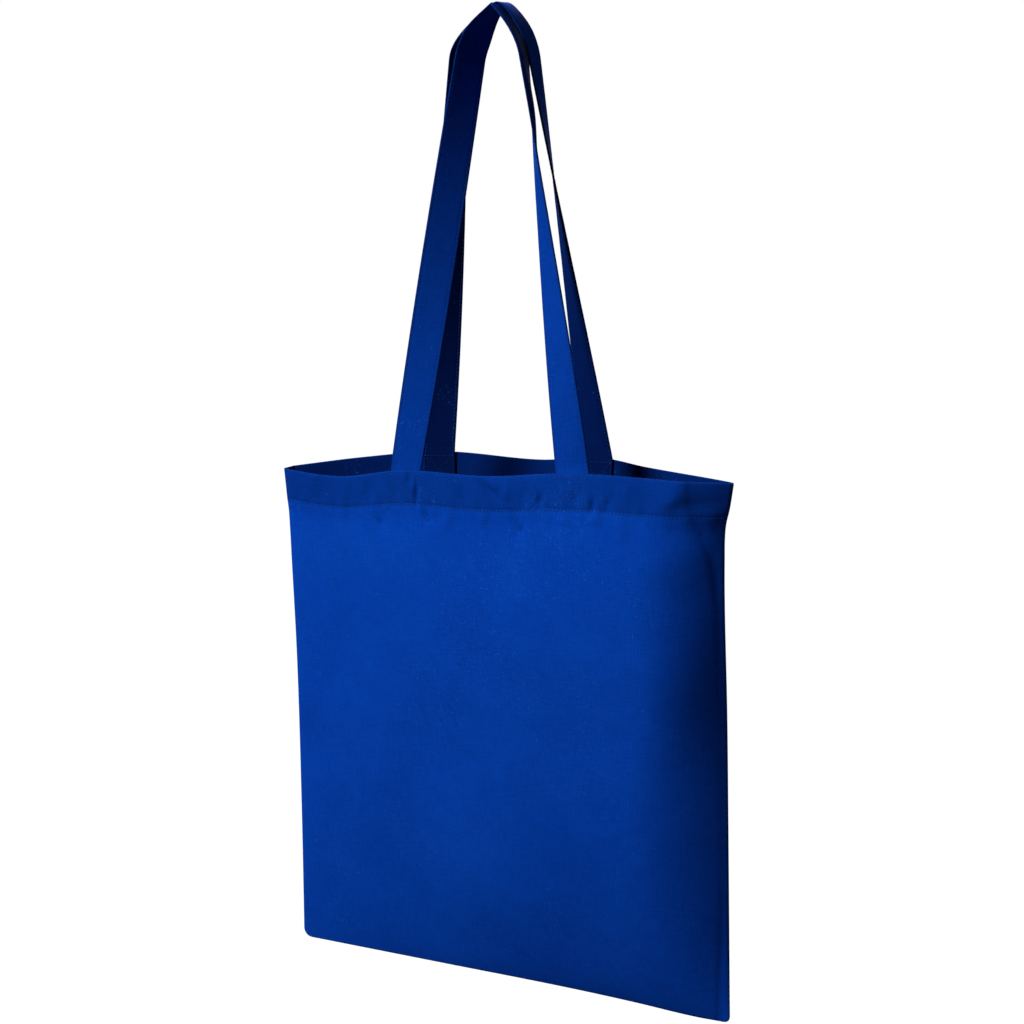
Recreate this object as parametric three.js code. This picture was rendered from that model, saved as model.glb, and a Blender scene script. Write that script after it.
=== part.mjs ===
// A cotton tote bag, hanging by its two long handles.
// Millimetres, +Z up, +X to the right, and the front of the bag towards -Y.
// The origin is the point where a hook bears on the underside of the inner handle.

import * as THREE from 'three';

// Cloth
const clothThickness = 0.6;
const clothColour = '#04389e';

// Bag, sewn from one length of cloth that is folded at the bottom
const bagWidth = 380;
const mouthNarrowing = 8;
const bagHeight = 420;
const hemDepth = 30;
const hemLayers = 3;
const foldCornerRadius = 8;
const seamEdgeRadius = 2;
const innerSeamInset = 2.5;
const panelClearance = 0.4;
const turnSharpness = 1.7;

// Handles, each a strip of the same cloth folded to four layers
const handleWidth = 26.5;
const handleThickness = 1.6;
const handleSpacing = 138;
const handleRise = 345;
const handleOverlap = 28;
const handleEdgeThickness = 0.9;
const touchGap = 0.3;
const crestGap = 2.8;

// The hook stands a little to the right of the bag's middle. The cloth bends round it at hookRadius,
// and the handles turn and tilt most within these lengths of it.
const hookOffset = 6.9;
const hookRadius = 2.5;
const quickTurnLength = 30;
const tiltLength = 25;

// How far the side seams are drawn in, in millimetres, at shares of the bag's height
const leftSeamPull = curveThrough([[0, 0], [0.26, 2.3], [0.6, 4.1], [0.8, 3.1], [0.93, 2], [1, 0]]);
const rightSeamPull = curveThrough([
  [0, 0], [0.3, 1.8], [0.57, 3.6], [0.86, 6.4], [0.925, 5.6], [0.955, 2.9], [1, 0],
]);

// How far the fold hangs down towards its right end, across the bag
const foldDrop = curveThrough([[-1, 0], [-0.3, 0], [0.3, 0], [0.6, 1.2], [0.87, 3.3], [1, 3]]);

// Each panel: how far its rim stands from the seams' plane at the handles and how squarely it opens,
// how far its belly swells and how evenly that falls away to the seams, the place across at which it
// turns back to the right seam, at shares of the bag's height, and how high its rim is drawn up across
// the mouth. Places across run from the left seam at -1 to the right one at 1.
const frontPanel = {
  side: -1,
  opening: 19.5,
  openingPower: 0.35,
  swell: 32,
  swellPower: 1.6,
  bellyPlace: 0.66,
  turnPlace: curveThrough([[0, 0.88], [0.05, 0.85], [0.27, 0.76], [0.5, 0.69], [0.75, 0.68], [1, 0.74]]),
  rimLift: curveThrough([[-1, 0], [-0.69, -4], [-0.376, 3], [0, 1], [0.376, 5.5], [0.65, 4], [1, 0]]),
};
const backPanel = {
  side: 1,
  opening: 45.5,
  openingPower: 1,
  swell: 6,
  swellPower: 6,
  bellyPlace: 0,
  turnPlace: () => 1,
  rimLift: curveThrough([[-1, 0], [-0.7, 6.5], [-0.376, 11], [0.1, 6], [0.376, 10], [0.6, 5], [1, 0]]),
};

// How each handle lies over the hook. Its crest stands to the right, to the back and above by these
// lengths, crestTurn is the direction of its width there in degrees, and crestTilt is how steeply its
// back edge rises. From there each leg spreads in an arch of its own, and turns back to the flat seat
// on the hem: a share of the turn comes at once, and the rest is spread along the leg.
// The back handle lies on the front one, where crestGap is the play left by their unlike twists.
const frontHandle = {
  panel: frontPanel,
  crestRight: 0,
  crestBack: 0,
  crestLift: 0,
  crestTurn: 87,
  crestTilt: 0.14,
  left: { archHalf: 16.1, archHeight: 36.8, archPower: 1.2, quickTurn: 0.3, spread: 1.1 },
  right: { archHalf: 15, archHeight: 38.9, archPower: 1.2, quickTurn: 0, spread: 1.1 },
};
const backHandle = {
  panel: backPanel,
  crestRight: -1.8,
  crestBack: 10.4,
  crestLift: handleThickness + crestGap,
  crestTurn: 90.8,
  crestTilt: 0.2,
  left: { archHalf: 32.5, archHeight: 37.2, archPower: 1.3, quickTurn: -0.07, spread: 0.97 },
  right: { archHalf: 19, archHeight: 39, archPower: 0.82, quickTurn: -0.1, spread: 1.25 },
};

// Mesh fineness: the body's rows are close together at the fold, then even, and the last one of each
// panel lies a little below the hem
const panelSegments = 40;
const legSegments = 30;
const foldRows = [0, 0.5, 1.3, 3, 8, 16, 30, 50, 75];
const firstEvenRow = 100;
const rowSpacing = 30;
const belowHem = 25;

const foldZ = -handleRise - bagHeight;
const mouthWidth = bagWidth - mouthNarrowing;
const bagMiddleX = -hookOffset;

// A smooth curve through [place, value] points, as a function of place
function curveThrough(points) {
  const places = points.map(([place]) => place);
  const values = points.map(([, value]) => value);
  const spline = new THREE.CubicInterpolant(places, values, 1);
  return (place) => spline.evaluate(place)[0];
}

// A solid between rings of equal point count, closed across its first and last ring.
// The first half of a ring lies opposite the second half read backwards.
function loft(rings) {
  const count = rings[0].length;
  const half = count / 2;
  const positions = rings.flat().flatMap((point) => point.toArray());
  const faces = [];
  for (let ring = 0; ring < rings.length - 1; ring += 1) {
    for (let i = 0; i < count; i += 1) {
      const next = (i + 1) % count;
      const a = ring * count + i;
      const b = ring * count + next;
      const c = (ring + 1) * count + next;
      const d = (ring + 1) * count + i;
      faces.push(a, b, c, a, c, d);
    }
  }
  const last = (rings.length - 1) * count;
  for (let i = 0; i < half - 1; i += 1) {
    const opposite = count - 1 - i;
    faces.push(i, opposite, i + 1, i + 1, opposite, opposite - 1);
    faces.push(last + i, last + i + 1, last + opposite);
    faces.push(last + i + 1, last + opposite - 1, last + opposite);
  }
  const geometry = new THREE.BufferGeometry();
  geometry.setAttribute('position', new THREE.Float32BufferAttribute(positions, 3));
  geometry.setIndex(faces);
  geometry.computeVertexNormals();
  return geometry;
}

// Half the bag's width at a height above the fold, on the side that across points to
function halfWidth(across, height) {
  const share = height / bagHeight;
  const straight = THREE.MathUtils.lerp(bagWidth, mouthWidth, share) / 2;
  const pull = across < 0 ? leftSeamPull(share) : rightSeamPull(share);
  const belowCorner = Math.max(0, foldCornerRadius - height);
  const corner = foldCornerRadius - Math.sqrt(foldCornerRadius ** 2 - belowCorner ** 2);
  return straight - pull - corner;
}

// Half the thickness where the two panels lie together, greater at the folded hem
function seamHalf(height) {
  const hemStart = bagHeight - hemDepth;
  const hemShare = THREE.MathUtils.smoothstep(height, hemStart - 10, hemStart + 5);
  const layers = THREE.MathUtils.lerp(1, hemLayers, hemShare);
  return layers * clothThickness + panelClearance;
}

// How far the panel's outer face stands from the seams' plane
function panelDepth(panel, across, height) {
  const share = height / bagHeight;
  const turnPlace = panel.turnPlace(share);
  const place = Math.min(across, turnPlace);
  const lensAtHandles = 1 - (handleSpacing / mouthWidth) ** 2;
  const lens = ((1 - place ** 2) / lensAtHandles) ** panel.openingPower;
  const fromBelly = Math.abs(place - panel.bellyPlace) / (1 + panel.bellyPlace);
  const swell = (1 - fromBelly ** panel.swellPower) * Math.sin(Math.PI * share) ** 0.8;
  const pastTurn = Math.max(0, across - turnPlace) / Math.max(0.01, 1 - turnPlace);
  const turn = 1 - pastTurn ** turnSharpness;
  const fromEdge = (1 - Math.abs(across)) * halfWidth(across, height);
  const toRound = Math.max(0, 1 - fromEdge / seamEdgeRadius);
  const edge = Math.max(0.3, Math.sqrt(1 - toRound ** 2));
  return (panel.opening * lens * share + panel.swell * swell) * turn + seamHalf(height) * edge;
}

// Depth that a wall of the given thickness takes up, because the panel slopes
function wallDepth(panel, across, height, thickness) {
  const step = 4;
  const acrossStep = step / halfWidth(across, height);
  const inner = Math.sign(across) * Math.min(Math.abs(across), 1 - 3 * acrossStep);
  const level = THREE.MathUtils.clamp(height, step, bagHeight - step);
  const depthAt = (place, z) => panelDepth(panel, place, z);
  const slopeX = depthAt(inner + acrossStep, level) - depthAt(inner - acrossStep, level);
  const slopeZ = depthAt(inner, level + step) - depthAt(inner, level - step);
  return thickness * Math.hypot(1, slopeX / (2 * step), slopeZ / (2 * step));
}

// A point of the panel: its outer face, or the face that lies inward by the given thickness
function panelPoint(panel, across, height, inward = 0) {
  const share = height / bagHeight;
  const outer = panelDepth(panel, across, height);
  const inner = Math.max(panelClearance, outer - wallDepth(panel, across, height, inward));
  const lift = panel.rimLift(across) * share ** 3;
  const drop = foldDrop(across) * (1 - share) ** 4;
  return new THREE.Vector3(
    bagMiddleX + across * halfWidth(across, height),
    panel.side * (inward > 0 ? inner : outer),
    foldZ + height + lift - drop,
  );
}

// A closed ring round the bag: the front from left to right, then the back from right to left
function bagRing(height, inward = 0) {
  const inset = inward > 0 ? 1 - innerSeamInset / (bagWidth / 2) : 1;
  const places = [];
  for (let i = 0; i <= panelSegments; i += 1) {
    places.push(inset * Math.sin((i / panelSegments - 0.5) * Math.PI));
  }
  const front = places.map((across) => panelPoint(frontPanel, across, height, inward));
  const back = places.map((across) => panelPoint(backPanel, across, height, inward)).reverse();
  return [...front, ...back];
}

// The heights of the body's rows below the hem
function rowHeights(hemStart) {
  const heights = [...foldRows];
  for (let height = firstEvenRow; height < hemStart - rowSpacing; height += rowSpacing) {
    heights.push(height);
  }
  return [...heights, hemStart - belowHem];
}

// The cloth as one skin: up the outside, over the rim, down the inside of the hem, and down to the fold
function bagBody() {
  const hemStart = bagHeight - hemDepth;
  const bodyHeights = rowHeights(hemStart);
  const hemThickness = hemLayers * clothThickness;
  const outside = [...bodyHeights, hemStart, bagHeight - hemDepth / 2, bagHeight];
  const inside = bodyHeights.filter((height) => height > 2 * clothThickness).reverse();
  const rings = [
    ...outside.map((height) => bagRing(height)),
    bagRing(bagHeight, hemThickness),
    bagRing(bagHeight - hemDepth / 2, hemThickness),
    bagRing(hemStart, hemThickness),
    bagRing(hemStart, clothThickness),
    ...inside.map((height) => bagRing(height, clothThickness)),
  ];
  return loft(rings);
}

// Places across a handle, from one edge at -1 to the other at 1
const handlePlaces = [-1, -0.92, 0, 0.92, 1];

// The middle of a handle's end where it is sewn flat inside the hem
function seatPoint(handle, middleX, place, height) {
  const { panel } = handle;
  const x = middleX + place * handleWidth / 2;
  const across = x / halfWidth(Math.sign(middleX), bagHeight);
  const inward = hemLayers * clothThickness + touchGap + handleThickness / 2;
  return panelPoint(panel, across, height, inward);
}

// One leg from its seat on the rim to the crest, as rows of points across the handle
function legRows(handle, sign) {
  const leg = sign < 0 ? handle.left : handle.right;
  const middleX = sign * handleSpacing / 2;
  const seat = seatPoint(handle, middleX, 0, bagHeight);
  const seatEdge = seatPoint(handle, middleX, 1, bagHeight).sub(seat);
  const seatTurn = THREE.MathUtils.radToDeg(Math.atan2(seatEdge.y, seatEdge.x)) + (sign > 0 ? 180 : 0);
  const crestZ = handleThickness / 2 + handle.crestLift;
  const height = crestZ - seat.z;
  const lean = (sign * (seat.x - handle.crestRight) - leg.archHalf) / height;
  const roundedDrop = (drop) => Math.sqrt(drop * (drop + 2 * hookRadius));
  const centre = (drop) => {
    const toArch = 1 - Math.min(1, roundedDrop(drop) / roundedDrop(leg.archHeight));
    const out = lean * drop + leg.archHalf * (1 - toArch ** 2) ** leg.archPower;
    const y = THREE.MathUtils.lerp(handle.crestBack, seat.y, drop / height);
    return new THREE.Vector3(handle.crestRight + sign * out, y, crestZ - drop);
  };
  const centres = [];
  for (let i = 0; i <= legSegments; i += 1) {
    centres.push(centre(height * (i / legSegments) ** 2));
  }
  const lengths = [0];
  for (let i = 1; i <= legSegments; i += 1) {
    lengths.push(lengths[i - 1] + centres[i].distanceTo(centres[i - 1]));
  }
  return centres.map((point, i) => {
    const before = centres[Math.max(0, i - 1)];
    const after = centres[Math.min(legSegments, i + 1)];
    const along = i === 0 ? new THREE.Vector3(-sign, 0, 0) : before.clone().sub(after).normalize();
    const quick = leg.quickTurn * THREE.MathUtils.smoothstep(lengths[i], 0, quickTurnLength);
    const slow = (1 - leg.quickTurn) * (lengths[i] / lengths[legSegments]) ** leg.spread;
    const degrees = THREE.MathUtils.lerp(handle.crestTurn, seatTurn, quick + slow);
    const turn = THREE.MathUtils.degToRad(degrees);
    const tilt = handle.crestTilt * Math.exp(-lengths[i] / tiltLength);
    const across = new THREE.Vector3(Math.cos(turn), Math.sin(turn), tilt);
    across.addScaledVector(along, -across.dot(along)).normalize();
    return handlePlaces.map((place) => point.clone().addScaledVector(across, place * handleWidth / 2));
  });
}

// Gives a sheet of rows its thickness, a little less along its two folded edges
function thicken(rows) {
  return rows.map((row, k) => {
    const below = rows[Math.max(0, k - 1)];
    const above = rows[Math.min(rows.length - 1, k + 1)];
    const upper = [];
    const lower = [];
    row.forEach((point, i) => {
      const along = above[i].clone().sub(below[i]);
      const across = row[Math.min(row.length - 1, i + 1)].clone().sub(row[Math.max(0, i - 1)]);
      const normal = along.cross(across).normalize();
      const edge = Math.abs(handlePlaces[i]) === 1;
      const half = (edge ? handleEdgeThickness : handleThickness) / 2;
      upper.push(point.clone().addScaledVector(normal, half));
      lower.push(point.clone().addScaledVector(normal, -half));
    });
    return [...upper.reverse(), ...lower];
  });
}

// A whole handle: sewn end, left leg, crest, right leg, sewn end
function handleLoop(handle) {
  const seatHeights = [bagHeight - handleOverlap, bagHeight - handleOverlap / 2, bagHeight];
  const seatRows = (sign) => seatHeights.map((height) => handlePlaces.map((place) => (
    seatPoint(handle, sign * handleSpacing / 2, -sign * place, height)
  )));
  const leftLeg = legRows(handle, -1).reverse();
  const rightLeg = legRows(handle, 1);
  const rows = [
    ...seatRows(-1),
    ...leftLeg.slice(1),
    ...rightLeg.slice(1, -1),
    ...seatRows(1).reverse(),
  ];
  return loft(thicken(rows));
}

function clothMesh(name, geometry) {
  const material = new THREE.MeshStandardMaterial({ color: clothColour, roughness: 0.92, metalness: 0 });
  const mesh = new THREE.Mesh(geometry, material);
  mesh.name = name;
  return mesh;
}

const toteBag = new THREE.Group();
toteBag.add(clothMesh('bag_body', bagBody()));
toteBag.add(clothMesh('front_handle', handleLoop(frontHandle)));
toteBag.add(clothMesh('back_handle', handleLoop(backHandle)));

export default toteBag;
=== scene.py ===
# A plain cotton tote bag that hangs by its two long handles, its mouth a little open.
# Metres. +Z is up, +X right, the front of the bag faces -Y, and the hook bears it at the origin.
from math import atan2, cos, exp, hypot, pi, radians, sin, sqrt

import bpy
from mathutils import Matrix, Vector, noise


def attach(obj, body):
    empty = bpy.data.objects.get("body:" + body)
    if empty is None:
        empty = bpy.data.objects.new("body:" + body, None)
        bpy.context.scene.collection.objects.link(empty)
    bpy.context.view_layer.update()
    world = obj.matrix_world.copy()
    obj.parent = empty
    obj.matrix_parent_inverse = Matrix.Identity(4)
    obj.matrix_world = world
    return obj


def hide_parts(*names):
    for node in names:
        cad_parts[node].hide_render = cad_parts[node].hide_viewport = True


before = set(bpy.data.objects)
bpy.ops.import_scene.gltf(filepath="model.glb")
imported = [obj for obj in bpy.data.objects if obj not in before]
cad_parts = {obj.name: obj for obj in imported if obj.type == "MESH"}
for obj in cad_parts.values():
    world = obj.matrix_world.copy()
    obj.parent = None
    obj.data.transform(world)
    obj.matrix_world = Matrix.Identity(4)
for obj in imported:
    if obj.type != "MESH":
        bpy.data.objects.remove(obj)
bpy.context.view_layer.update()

scene = bpy.context.scene
mm = 0.001


# ---- Camera -----------------------------------------------------------------------------------
# It looks at the middle of the hanging bag from the front, a little from the right and from above,
# and leans over by two thirds of a degree.
camera_azimuth, camera_elevation, camera_roll = radians(21.508), radians(9.008), radians(-0.664)
camera_distance = 0.95205
camera_target = Vector((0.0061, 0, -0.37436))

camera_data = bpy.data.cameras.new("camera")
camera_data.lens = 42.97
camera_data.sensor_width = 36
camera = bpy.data.objects.new("camera", camera_data)
scene.collection.objects.link(camera)
scene.camera = camera
camera_back = Vector((
    sin(camera_azimuth) * cos(camera_elevation),
    -cos(camera_azimuth) * cos(camera_elevation),
    sin(camera_elevation),
))
level_right = Vector((cos(camera_azimuth), sin(camera_azimuth), 0))
level_up = camera_back.cross(level_right)
camera_right = level_right * cos(camera_roll) + level_up * sin(camera_roll)
camera_up = level_up * cos(camera_roll) - level_right * sin(camera_roll)
camera.matrix_world = Matrix.Translation(camera_target + camera_back * camera_distance) @ (
    Matrix((camera_right, camera_up, camera_back)).transposed().to_4x4()
)


# ---- Studio -----------------------------------------------------------------------------------
# A pale floor under a bag that hangs from about shoulder height, a white surround, one soft lamp
# from the front left and above, a weaker one behind, and a faint one at the right.
floor_height = -1.5
floor_half = 12
floor_corners = ((-1, -1), (1, -1), (1, 1), (-1, 1))
lamp_aim = Vector((0, 0, -0.45))
scene.view_settings.view_transform = "Standard"


def add_lamp(name, azimuth, elevation, distance, size, watts):
    """A round soft lamp that points at the middle of the bag."""
    data = bpy.data.lights.new(name, "AREA")
    data.shape = "DISK"
    data.size = size
    data.energy = watts
    lamp = bpy.data.objects.new(name, data)
    turn, rise = radians(azimuth), radians(elevation)
    towards = Vector((sin(turn) * cos(rise), -cos(turn) * cos(rise), sin(rise)))
    lamp.location = lamp_aim + towards * distance
    lamp.rotation_mode = "QUATERNION"
    lamp.rotation_quaternion = (-towards).to_track_quat("-Z", "Y")
    scene.collection.objects.link(lamp)


add_lamp("soft_key", -37, 42, 2.8, 0.8, 112)
add_lamp("back_fill", 200, 30, 2.6, 1.2, 52)
add_lamp("side_fill", 100, 15, 2.6, 1.2, 3)

# The eye and mirrors see the surround white, and the bag gets only a faint light from it
world = bpy.data.worlds.new("white_surround")
scene.world = world
world.use_nodes = True
nodes, links = world.node_tree.nodes, world.node_tree.links
nodes.clear()
output = nodes.new("ShaderNodeOutputWorld")
seen = nodes.new("ShaderNodeBackground")
seen.inputs["Color"].default_value = (1, 1, 1, 1)
lighting = nodes.new("ShaderNodeBackground")
lighting.inputs["Color"].default_value = (0.9, 0.95, 1, 1)
lighting.inputs["Strength"].default_value = 0.03
choice = nodes.new("ShaderNodeMixShader")
ray = nodes.new("ShaderNodeLightPath")
seen_rays = nodes.new("ShaderNodeMath")
seen_rays.use_clamp = True
mirrored_rays = nodes.new("ShaderNodeMath")
links.new(ray.outputs["Is Glossy Ray"], mirrored_rays.inputs[0])
links.new(ray.outputs["Is Transmission Ray"], mirrored_rays.inputs[1])
links.new(ray.outputs["Is Camera Ray"], seen_rays.inputs[0])
links.new(mirrored_rays.outputs[0], seen_rays.inputs[1])
links.new(seen_rays.outputs[0], choice.inputs["Fac"])
links.new(lighting.outputs[0], choice.inputs[1])
links.new(seen.outputs[0], choice.inputs[2])
links.new(choice.outputs[0], output.inputs["Surface"])

# The eye sees the floor glow white, a little less so under the bag, and it keeps the shadow
floor_mesh = bpy.data.meshes.new("floor")
floor_mesh.from_pydata(
    [(x * floor_half, y * floor_half, floor_height) for x, y in floor_corners], [], [(0, 1, 2, 3)],
)
floor = bpy.data.objects.new("floor", floor_mesh)
scene.collection.objects.link(floor)
floor_paint = bpy.data.materials.new("floor_paint")
floor_paint.use_nodes = True
nodes, links = floor_paint.node_tree.nodes, floor_paint.node_tree.links
surface = nodes["Principled BSDF"]
surface.inputs["Base Color"].default_value = (0.12, 0.12, 0.12, 1)
surface.inputs["Roughness"].default_value = 0.9
surface.inputs["Specular IOR Level"].default_value = 0
surface.inputs["Emission Color"].default_value = (1, 1, 1, 1)
ray = nodes.new("ShaderNodeLightPath")
spot = nodes.new("ShaderNodeTexCoord")
reach = nodes.new("ShaderNodeVectorMath")
reach.operation = "LENGTH"
paler = nodes.new("ShaderNodeMapRange")
paler.inputs["From Min"].default_value = 1.6
paler.inputs["From Max"].default_value = 4.5
paler.inputs["To Min"].default_value = 0.9
paler.inputs["To Max"].default_value = 1
links.new(spot.outputs["Object"], reach.inputs[0])
links.new(reach.outputs["Value"], paler.inputs["Value"])
glow = nodes.new("ShaderNodeMath")
glow.operation = "MULTIPLY"
links.new(paler.outputs[0], glow.inputs[1])
links.new(ray.outputs["Is Camera Ray"], glow.inputs[0])
links.new(glow.outputs[0], surface.inputs["Emission Strength"])
floor_mesh.materials.append(floor_paint)


# ---- Bag body ---------------------------------------------------------------------------------
# One length of plain-woven cotton, folded in half at the bottom and sewn up both sides. The top
# edge is turned in twice as a hem, which stands three layers thick, and pulls a little at the sewing.
# The front bulges and turns back to its right seam; the mouth stands open, the back panel furthest.
bag_width, mouth_width, bag_height = 380 * mm, 372 * mm, 420 * mm
cloth_thickness = 0.6 * mm
hem_depth, hem_thickness = 27.5 * mm, 1.8 * mm
hem_sewing = 25.5 * mm
hem_start = bag_height - hem_depth
rim_radius = hem_thickness / 2
fold_corner, fold_radius = 8 * mm, 1.4 * mm
sharper_corner = 0.6 * fold_corner
seam_edge, sewn_margin, inner_inset = 2 * mm, 7 * mm, 2.5 * mm
panel_clearance, least_depth, least_edge, least_fold = 0.4 * mm, 0.3 * mm, 0.25, 0.3
bag_middle, fold_z = -6.9 * mm, -765 * mm
handle_spacing = 138 * mm

# How far the panels stand out at the rim by the handles, and as a swell between fold and rim; the
# place across where the front is fullest; and the height where it is flatter, and by how much
front_open, back_open = 19.5 * mm, 45.5 * mm
front_swell, back_swell = 32 * mm, 6 * mm
fullest_place, fullest_reach = 0.66, 1.66
flatter_height, flatter_reach, flatter_by = 0.52, 0.22, 0.22

# The share of the hem's turn in which it bends, and the heights between which it takes this turn
hem_bend, hem_turn_start, hem_turn_end = 0.3, 0.935, 0.97

# The thread's pull on the hem: its puckers and its groove; how far the puckers reach down and up, in
# mm; and two waves of them for each panel: their length, how much it wanders, and in what length
pucker_height, groove_depth, groove_width = 0.16 * mm, 0.3 * mm, 1.2
pucker_reach_down, pucker_reach_up = 9, 5
front_puckers = ((1.9, 2.2, 17), (3.3, 1.7, 29))
back_puckers = ((2.1, 2, 19), (3.7, 2, 23))

# The spacing of the mesh's columns and rows, and where the rows are even and where close together
column_step, row_step, hem_row_step, inside_row_step = 1.7 * mm, 5.5 * mm, 1.5 * mm, 16 * mm
even_rows_start, close_rows_start = 20 * mm, 360 * mm
rim_steps = 8

# Where the cloth is rubbed: how much at the rim, and how far in there and at the seams and the fold
rim_wear, rim_wear_reach, edge_wear_reach = 0.3, 1.2 * mm, 1.5 * mm


def curve_through(*points):
    """A smooth curve through (place, value) points, as a function of place."""
    places = [place for place, _ in points]
    values = [value for _, value in points]

    def value_at(place):
        place = min(max(place, places[0]), places[-1])
        k = 1
        while k < len(places) - 1 and place >= places[k]:
            k += 1
        before = k - 2 if k > 1 else k
        after = k + 1 if k + 1 < len(places) else k - 1
        start, end = places[k - 1], places[k]
        p = (place - start) / (end - start)
        pull_before = (end - start) / 2 / (start - places[before])
        pull_after = (end - start) / 2 / (places[after] - end)
        return (
            values[before] * pull_before * (2 * p * p - p ** 3 - p)
            + values[k - 1] * ((1 + pull_before) * p ** 3 - (1.5 + 2 * pull_before) * p * p
                               + (pull_before - 0.5) * p + 1)
            + values[k] * ((1.5 + pull_after) * p * p - (1 + pull_after) * p ** 3 + 0.5 * p)
            + values[after] * pull_after * (p ** 3 - p * p)
        )

    return value_at


def smooth_share(value, low, high):
    """0 below low, 1 above high, and a soft step between them."""
    share = min(max((value - low) / (high - low), 0), 1)
    return share * share * (3 - 2 * share)


# How far each side is drawn in, in mm, at shares of the height
left_pull = curve_through((0, 0), (0.26, 2.3), (0.6, 4.1), (0.8, 3.1), (0.93, 2), (1, 0))
right_pull = curve_through(
    (0, 0), (0.3, 1.8), (0.57, 3.6), (0.86, 6.4), (0.925, 5.6), (0.955, 2.9), (1, 0),
)

# How far the fold hangs lower and each rim is lifted, in mm, at places across from -1 to 1
fold_drop = curve_through((-1, 0), (-0.3, 0), (0.3, 0), (0.6, 1.2), (0.87, 3.3), (1, 3))
front_lift = curve_through(
    (-1, 0), (-0.69, -4), (-0.376, 3), (0, 1), (0.376, 5.5), (0.65, 4), (1, 0),
)
back_lift = curve_through(
    (-1, 0), (-0.7, 6.5), (-0.376, 11), (0.1, 6), (0.376, 10), (0.6, 5), (1, 0),
)

# The place across the front where it starts to turn back to the right seam, at shares of the height
turn_start = curve_through(
    (0, 0.88), (0.05, 0.82), (0.175, 0.71), (0.396, 0.63), (0.627, 0.70),
    (0.8, 0.655), (0.87, 0.69), (0.94, 0.70), (0.97, 0.765), (1, 0.78),
)

# Creases and puckers of the front: place across and up, half length, half width, lean from upright
# in degrees, and how far the cloth stands out there, with all but the lean in mm
front_creases = (
    (-57.5, 402, 9, 1.61, 0, -2.75), (-64, 413, 6, 2.28, 0, -1.3), (-49, 386, 5, 2.66, 20, -1.16),
    (4, 409, 12, 2.56, 50, -2.46), (9.5, 413, 7, 3.23, 50, 1.3), (-17, 405, 9, 5.22, 8, -1.3),
    (18, 406, 10, 3.99, 0, 1.3), (33, 404, 9, 4.75, -6, -0.87), (46, 401, 5, 2.66, 0, -1.89),
    (87.5, 398, 5, 2.38, 0, -2.46), (99.5, 400, 6, 3.23, -8, -1.45), (112, 406, 10, 4.75, 6, 0.87),
    (66, 386, 5, 3.4, 70, 0.8), (88, 388, 5, 3.0, 70, 0.6), (58, 380, 5, 3.2, 40, -0.45),
    (77, 379, 6, 3.6, -50, -0.4), (-1, 388, 5, 3.23, 10, 1.01), (-100, 406, 10, 5.7, -8, -1.16),
    (-124, 404, 12, 5.7, 8, 1.16), (-146, 405, 10, 5.7, 4, -0.87), (129, 402, 12, 5.7, 10, -0.87),
    (-75, 404, 7, 3.8, 30, -0.87), (74, 403, 7, 3.8, -30, -0.87), (-30, 384, 8, 4.75, -25, 0.87),
    (110, 384, 9, 4.75, 20, 0.87), (-90, 380, 9, 5.7, 15, -0.87), (30, 380, 7, 4.75, -15, -0.87),
)

# The long crease beside the right seam, in mm right of the middle, at shares of the height
margin_crease = curve_through(
    (0, 181), (0.3, 184), (0.55, 181.5), (0.68, 179), (0.80, 176),
    (0.875, 170), (0.945, 158.5), (1, 156.5),
)


def half_width(across, height):
    """Half the bag's width at a height, on the side that across is on."""
    share = height / bag_height
    straight = (bag_width + (mouth_width - bag_width) * share) / 2
    pull = (left_pull if across < 0 else right_pull)(share) * mm
    corner = fold_corner if across < 0 else sharper_corner
    below = max(0, corner - height)
    return straight - pull - (corner - sqrt(corner ** 2 - below ** 2))


def layers_half(height):
    """Half the thickness where the panels lie together, greater at the hem."""
    hem_share = smooth_share(height, hem_start - 10 * mm, hem_start + 5 * mm)
    return (1 + 2 * hem_share) * cloth_thickness + panel_clearance


def crease(x, height, at_x, at_height, half_length, half_crease, lean, out):
    """How far a short crease moves the cloth out, in metres: nothing past 2.5 times its half sizes."""
    turn = radians(lean)
    dx, dz = x / mm - at_x, height / mm - at_height
    along = (dz * cos(turn) - dx * sin(turn)) / half_length
    beside = (dx * cos(turn) + dz * sin(turn)) / half_crease
    if abs(along) > 2.5 or abs(beside) > 2.5:
        return 0
    return out * mm * exp(-along * along - beside * beside)


def sewing_relief(x, height, puckers):
    """The groove of the hem's sewing, and the fine puckers that fade out below and above it."""
    from_sewing = (height - (bag_height - hem_sewing)) / mm
    pull = exp(-abs(from_sewing) / (pucker_reach_down if from_sewing < 0 else pucker_reach_up))
    coarse, fine = (
        sin(x / (length * mm) + wander * sin(x / (wander_length * mm)))
        for length, wander, wander_length in puckers
    )
    groove = groove_depth * exp(-(from_sewing / groove_width) ** 2)
    return pucker_height * (coarse + 0.7 * fine) * pull - groove


def soft_folds(x, height, width, length, seed):
    """Even noise from -1 to 1, in folds of about this width and length in metres."""
    return noise.noise(Vector((x / width, height / length, seed)))


def front_relief(x, height):
    """Small folds of the front panel, as its distance out."""
    share = height / bag_height
    relief = sum(crease(x, height, *one) for one in front_creases)
    relief += sewing_relief(x, height, front_puckers)
    strength = 0.6 + 0.7 * smooth_share(share, 0.6, 0.8) - 0.75 * smooth_share(share, 0.84, 0.91)
    beside = x / mm - margin_crease(share)
    reach = 1.5 if beside < 0 else 10
    relief -= strength * mm * exp(-(beside / reach) ** 2)
    waves = 0.6 * soft_folds(x, height, 0.11, 0.16, 3.1)
    waves += 0.7 * soft_folds(x, height, 0.045, 0.06, 5.7)
    return relief + mm * waves * sin(pi * share)


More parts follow.
